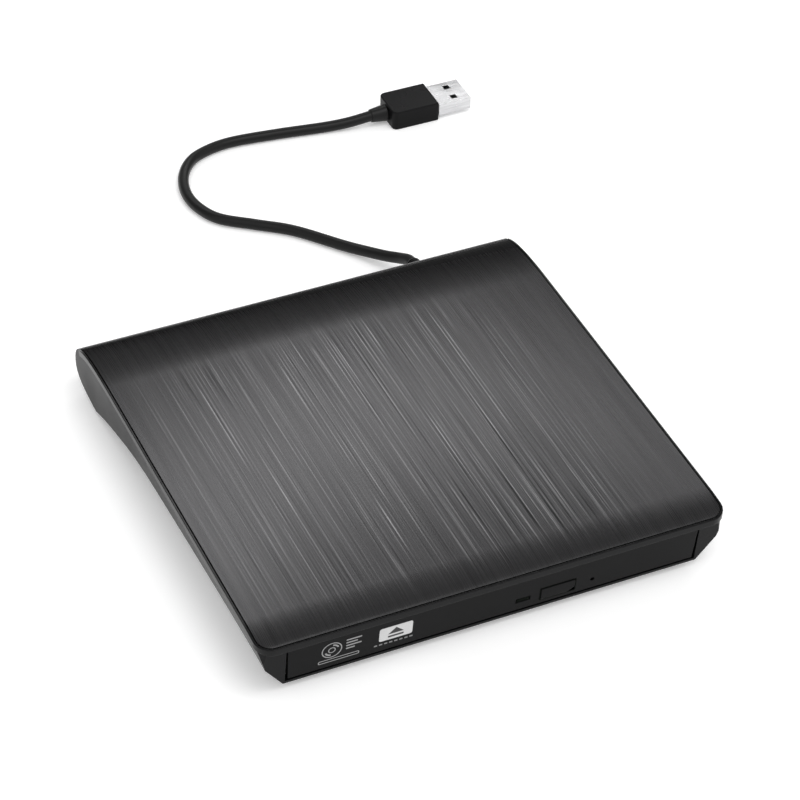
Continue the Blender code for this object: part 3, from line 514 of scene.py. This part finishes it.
ROUTE = (
    (44.0, 81.4, 8.0), (43.6, 83.9, 7.5), (42.2, 87.6, 5.9), (39.4, 92.3, 4.3), (35.7, 98.2, 2.9),
    (30.4, 105.0, 2.1), (18.8, 118.7, 1.9), (8.5, 126.6, 1.9), (-1.4, 134.2, 1.9),
    (-5.6, 142.2, 1.9), (-6.6, 150.6, 1.9), (-4.7, 159.0, 1.9), (-0.5, 165.9, 1.9),
    (5.6, 170.4, 1.9), (16.9, 172.9, 1.9), (33.8, 171.4, 1.9), (50.4, 168.9, 1.9),
    (59.0, 167.4, 2.6), (66.7, 166.7, 3.6),
)
CORD_DIAMETER = 0.0037
CORD_TUCK = 0.6  # how far each end goes into the boot and the plug, in mm


def smooth_route(points, steps):
    """Points of a Catmull-Rom curve through the route's own points."""
    path = [Vector(p) for p in points]
    path = [2 * path[0] - path[1]] + path + [2 * path[-1] - path[-2]]
    found = []
    for a, b, c, d in zip(path, path[1:], path[2:], path[3:]):
        for k in range(steps):
            t = k / steps
            found.append(
                0.5 * (2 * b + (c - a) * t + (2 * a - 5 * b + 4 * c - d) * t**2
                       + (3 * b - a - 3 * c + d) * t**3)
            )
    return found + [path[-2]]


def make_cord():
    """The cord as a round curve along its route, with both ends tucked in."""
    curve = bpy.data.curves.new("cord", "CURVE")
    curve.dimensions = "3D"
    curve.bevel_depth = CORD_DIAMETER / 2
    curve.bevel_resolution = 6
    curve.use_fill_caps = True
    path = smooth_route(ROUTE, 6)
    path.insert(0, path[0] + (path[0] - path[1]).normalized() * CORD_TUCK)
    path.append(path[-1] + (path[-1] - path[-2]).normalized() * CORD_TUCK)
    spline = curve.splines.new("POLY")
    spline.points.add(len(path) - 1)
    for point, place in zip(spline.points, path):
        point.co = (*(place * MM), 1)
    spline.use_smooth = True
    curve.materials.append(MATERIALS["cable_jacket"])
    cord = bpy.data.objects.new("cord", curve)
    bpy.context.scene.collection.objects.link(cord)
    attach(cord, "case")
    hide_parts("usb_cable")
    return cord


def turned(name, profile, place, body, slot, steps, *replaced, sharp):
    """A closed profile of (radius, height) in mm, from axis to axis, turned about the place's Z."""
    bm = bmesh.new()
    rings = []
    for radius, height in profile:
        if radius == 0:
            rings.append([bm.verts.new(place @ Vector((0, 0, height)) * MM)])
            continue
        rings.append([
            bm.verts.new(place @ Vector((radius * math.cos(a), radius * math.sin(a), height)) * MM)
            for a in (2 * math.pi * k / steps for k in range(steps))
        ])
    for near, far in zip(rings, rings[1:]):
        if len(near) == len(far):
            add_wall(bm, near, far)
            continue
        ring, (middle,) = (near, far) if len(far) == 1 else (far, near)
        for k in range(steps):
            bm.faces.new((ring[k], ring[(k + 1) % steps], middle))
    return piece(name, outward_mesh(bm, name), body, slot, None, *replaced, sharp=sharp)


BOOT_COLLAR = 75.9  # Y of the collar against the case's rear wall
BOOT_RINGS = 5
BOOT_PITCH = 0.86
BOOT_TAPER = 0.13  # how much smaller each ring's radius is than the one before


def make_cord_pieces():
    """The ribbed boot at the case, and the plug's four parts."""
    low, high = (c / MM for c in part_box("strain_relief"))
    middle = (low + high) / 2
    start, tip = low.y, high.y
    along_y = Matrix.Translation((middle.x, 0, middle.z)) @ Matrix.Rotation(-math.pi / 2, 4, "X")
    flange = [(0, start), (3.0, start), (3.2, start + 0.2), (3.2, start + 1.6), (2.4, start + 1.6)]
    profile = flange + [(2.4, BOOT_COLLAR), (2.9, BOOT_COLLAR), (3.0, BOOT_COLLAR + 0.2)]
    for k in range(BOOT_RINGS):
        y = BOOT_COLLAR + 0.5 + k * BOOT_PITCH
        shrink = BOOT_TAPER * k
        profile += [(3.0 - shrink, y), (2.6 - shrink, y + 0.12)]
        profile += [(2.6 - shrink, y + 0.38), (2.9 - shrink, y + 0.5)]
    profile += [(2.3, tip - 0.3), (2.05, tip), (0, tip)]
    boot = turned("cord_boot", profile, along_y, "case", "cable_jacket", 40, "strain_relief", sharp=50)
    plug = refined("plug_body", 0.7, 3)
    neck = refined("plug_neck", 0.25)
    shell = refined("plug_shell", 0.12)
    tongue = refined("plug_tongue", 0.1)
    return [boot, plug, neck, shell, tongue]


make_camera()
cord = make_cord()
cord_pieces = make_cord_pieces()
make_world()
make_stage()

# Marks on the bezel: plain shapes, in mm from the bezel's left end and lower edge.

BEZEL_LEAN = math.tan(math.radians(6.5))


def make_bezel_marks():
    """A generic disc with bars and a pill, a badge with the eject symbol over dashes, and a painted shadow
    line round the button's gap.
    """
    low, high = (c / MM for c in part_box("tray_bezel"))

    def on_bezel(x, z, height):
        return low.x + x, low.y + (high.z - low.z - z) * BEZEL_LEAN - height, low.z + z

    def mark(name, shapes, made_of):
        relief(name, shapes, on_bezel, -0.06, 0.05, "tray", "white_plastic", made_of)

    x, z = 13.4, 6.9
    rings = [(circle(x, z, r), circle(x, z, r - w), True) for r, w in ((3.1, 0.32), (1.15, 0.3))]
    glints = [
        (circle(x, z, 2.3, 8, a, 62.0), circle(x, z, 1.75, 8, a, 62.0), False) for a in (20.0, 200.0)
    ]
    bar_ends = ((9.1, 22.4), (7.9, 21.2), (6.7, 22.4), (5.5, 20.4))
    bars = [rounded(17.7, end, foot, foot + 0.5, 0.2) for foot, end in bar_ends]
    pill = frame_shape(9.4, 21.9, 2.0, 3.3, 0.5, 0.26)
    mark("bezel_disc_mark", [*rings, *glints, *bars, pill], print_material("grey_print", 0.3))
    mark("bezel_badge", [rounded(27.8, 38.0, 4.1, 9.5, 0.7)], print_material("silver_print", 0.62))
    middle = 32.9
    triangle = [(middle - 2.4, 6.4), (middle + 2.4, 6.4), (middle, 8.7)]
    bar = rounded(middle - 2.4, middle + 2.4, 5.0, 5.7, 0.15)
    relief("bezel_badge_glyph", [triangle, bar], on_bezel, 0.0, 0.08, "tray", "bezel_plastic",
           print_material("dark_print", 0.012))
    dashes = [rounded(26.4 + 1.55 * k, 27.4 + 1.55 * k, 2.5, 3.05, 0.15) for k in range(8)]
    mark("bezel_dashes", dashes, print_material("fine_print", 0.2))
    start, end = (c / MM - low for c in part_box("eject_button"))
    reach = 0.42  # from the button's own edge, past the gap round it
    # A near-black frame on the bezel round the button: a painted shadow for the gap round it.
    gap_shadow = frame_shape(start.x - reach, end.x + reach, start.z - reach, end.z + reach, 0.3, 0.26)
    relief("button_gap_shadow", [gap_shadow], on_bezel, -0.06, 0.02, "tray", "lamp")


# Tray and underside detail that is too fine for the solids, in mm.

DIAGONAL = math.sqrt(0.5)


def cross_screw(name, place, radius, height, body):
    """A low screw head with a cross recess, standing on the place given in mm."""
    arm, half = radius * 0.6, radius * 0.17
    cross = [(arm, -half), (arm, half), (half, half), (half, arm), (-half, arm), (-half, half)]
    cross += [(-x, -y) for x, y in cross]
    angles = [math.atan2(y, x) for x, y in cross]
    bm = bmesh.new()

    def ring(points, z):
        return [bm.verts.new((Vector(place) + Vector((px, py, z))) * MM) for px, py in points]

    def round_ring(r, z):
        return ring([(r * math.cos(a), r * math.sin(a)) for a in angles], z)

    rings = [
        round_ring(radius, -0.15), round_ring(radius, height * 0.6), round_ring(radius * 0.82, height),
        ring(cross, height), ring(cross, -0.05),
    ]
    for near, far in zip(rings, rings[1:]):
        add_wall(bm, near, far)
    bm.faces.new(rings[0][::-1])
    bm.faces.new(rings[-1])
    piece(name, outward_mesh(bm, name), body, "bright_steel")


TRAY_FLOOR = 11.6
COVER_TOP = 11.3  # upper face of the plate round the spindle


def make_tray_detail():
    """Rim and guide lines round the spindle, a shield below the pickup, screws and ribs on its cover."""
    low, high = (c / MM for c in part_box("turntable"))
    x, y = (low.x + high.x) / 2, (low.y + high.y) / 2

    def arc(radius, width, start, sweep):
        return circle(x, y, radius, 90, start, sweep), circle(x, y, radius - width, 90, start, sweep), False

    relief("small_disc_rim", [arc(41.0, 0.8, 165.0, 300.0)], upright_place,
           TRAY_FLOOR - 0.2, TRAY_FLOOR + 0.3, "tray", "tray_plastic")
    relief("disc_guide_lines", [arc(radius, 0.35, 167.0, 296.0) for radius in (25.5, 57.6)], upright_place,
           TRAY_FLOOR - 0.2, TRAY_FLOOR + 0.12, "tray", "tray_plastic")

    def on_feed(u, v, height):
        """u along the pickup's travel from the spindle, v to its side."""
        return x + (v - u) * DIAGONAL, y + (u + v) * DIAGONAL, height

    low, high = (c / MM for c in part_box("tray_under_cover"))
    shield = rounded(-59.6, low.x + 8, 8.0, high.y - 1.0, 1.0)
    relief("traverse_shield", [shield], upright_place, high.z + 0.03, high.z + 0.25, "tray", "sheet_steel",
           OWN_FINISH["mech_cover"])
    for k, (u, v) in enumerate(((-15.5, 15.0), (-15.5, -15.0), (44.0, 14.5), (44.0, -14.5)), 1):
        cross_screw(f"mech_screw_{k}", on_feed(u, v, COVER_TOP), 1.5, 0.35, "tray")
    ribs = [rounded(u, u + 1.4, side * 12.2 - 1.9, side * 12.2 + 1.9, 0.6)
            for u in (14.6 + 3.2 * k for k in range(7)) for side in (-1, 1)]
    relief("mech_cover_ribs", ribs, on_feed, COVER_TOP - 0.1, COVER_TOP + 0.12, "tray", "case_plastic",
           OWN_FINISH["mech_cover"])


def make_underside():
    """A blank label with a border, between two groups of ribs."""
    low, high = (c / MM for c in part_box("bottom_case"))
    x, y, z = (low.x + high.x) / 2, (low.y + high.y) / 2 + 4, low.z
    relief("base_label", [rounded(x - 31, x + 31, y - 19, y + 19, 2.0)], upright_place, z - 0.1, z + 0.1,
           "case", "white_plastic", print_material("label_silver", 0.42))
    border = [frame_shape(x - 29.5, x + 29.5, y - 17.5, y + 17.5, 1.2, 0.4)]
    relief("base_label_border", border, upright_place, z - 0.14, z, "case", "bezel_plastic",
           print_material("label_line", 0.03))
    lines = (y + side * (27 + 2.4 * k) for k in range(4) for side in (-1, 1))
    ribs = [rounded(x - 20, x + 20, line - 0.5, line + 0.5, 0.45) for line in lines]
    relief("base_ribs", ribs, upright_place, z - 0.3, z + 0.1, "case", "case_plastic")


# Rounding of the edges in mm, and the nodes that have it.
BEVELS = {
    0.3: ("top_cover", "bottom_case"),
    0.25: ("eject_button", "tray", "foot_1", "foot_2", "foot_3", "foot_4"),
    0.2: ("tray_bezel", "pickup_sled", "sled_motor", "drive_connector", "bridge_connector"),
    0.12: (
        "lid_plate", "lens_holder", "latch_lever", "sled_follower", "latch_solenoid", "turntable",
        "friction_ring", "damper_1", "damper_2", "damper_3", "rail_guide_left", "rail_guide_right",
        "slide_rail_left", "slide_rail_right", "drive_pan", "drive_lid", "traverse_plate", "spindle_motor",
        "mech_cover",
    ),
    0.08: (
        "led_window", "hub_claw_1", "hub_claw_2", "hub_claw_3", "tray_under_cover", "case_screw_1",
        "case_screw_2", "drive_screw_1", "drive_screw_2", "guide_rod_main", "guide_rod_sub",
    ),
    0.04: ("ribbon_fixed", "ribbon_fold", "ribbon_tray"),
    0.0: ("kick_spring", "lead_screw", "objective_lens"),
}
BOARD_BEVEL = 0.08
# Heights of each circuit board's own two faces; what stands past them is its chips and sockets.
BOARDS = {
    "rear_board": (4.6, 5.2), "bridge_board": (7.6, 8.6), "tray_board": (9.0, 9.8), "main_board": (8.6, 9.4),
}

make_bezel_marks()
make_tray_detail()
make_underside()
for bevel, nodes in BEVELS.items():
    for node in nodes:
        refined(node, bevel)
for node, (board_low, board_high) in BOARDS.items():
    mask = circuit_material(node + "_mask", board_low - 0.02, board_high + 0.02)
    refined(node, BOARD_BEVEL, made_of=mask)
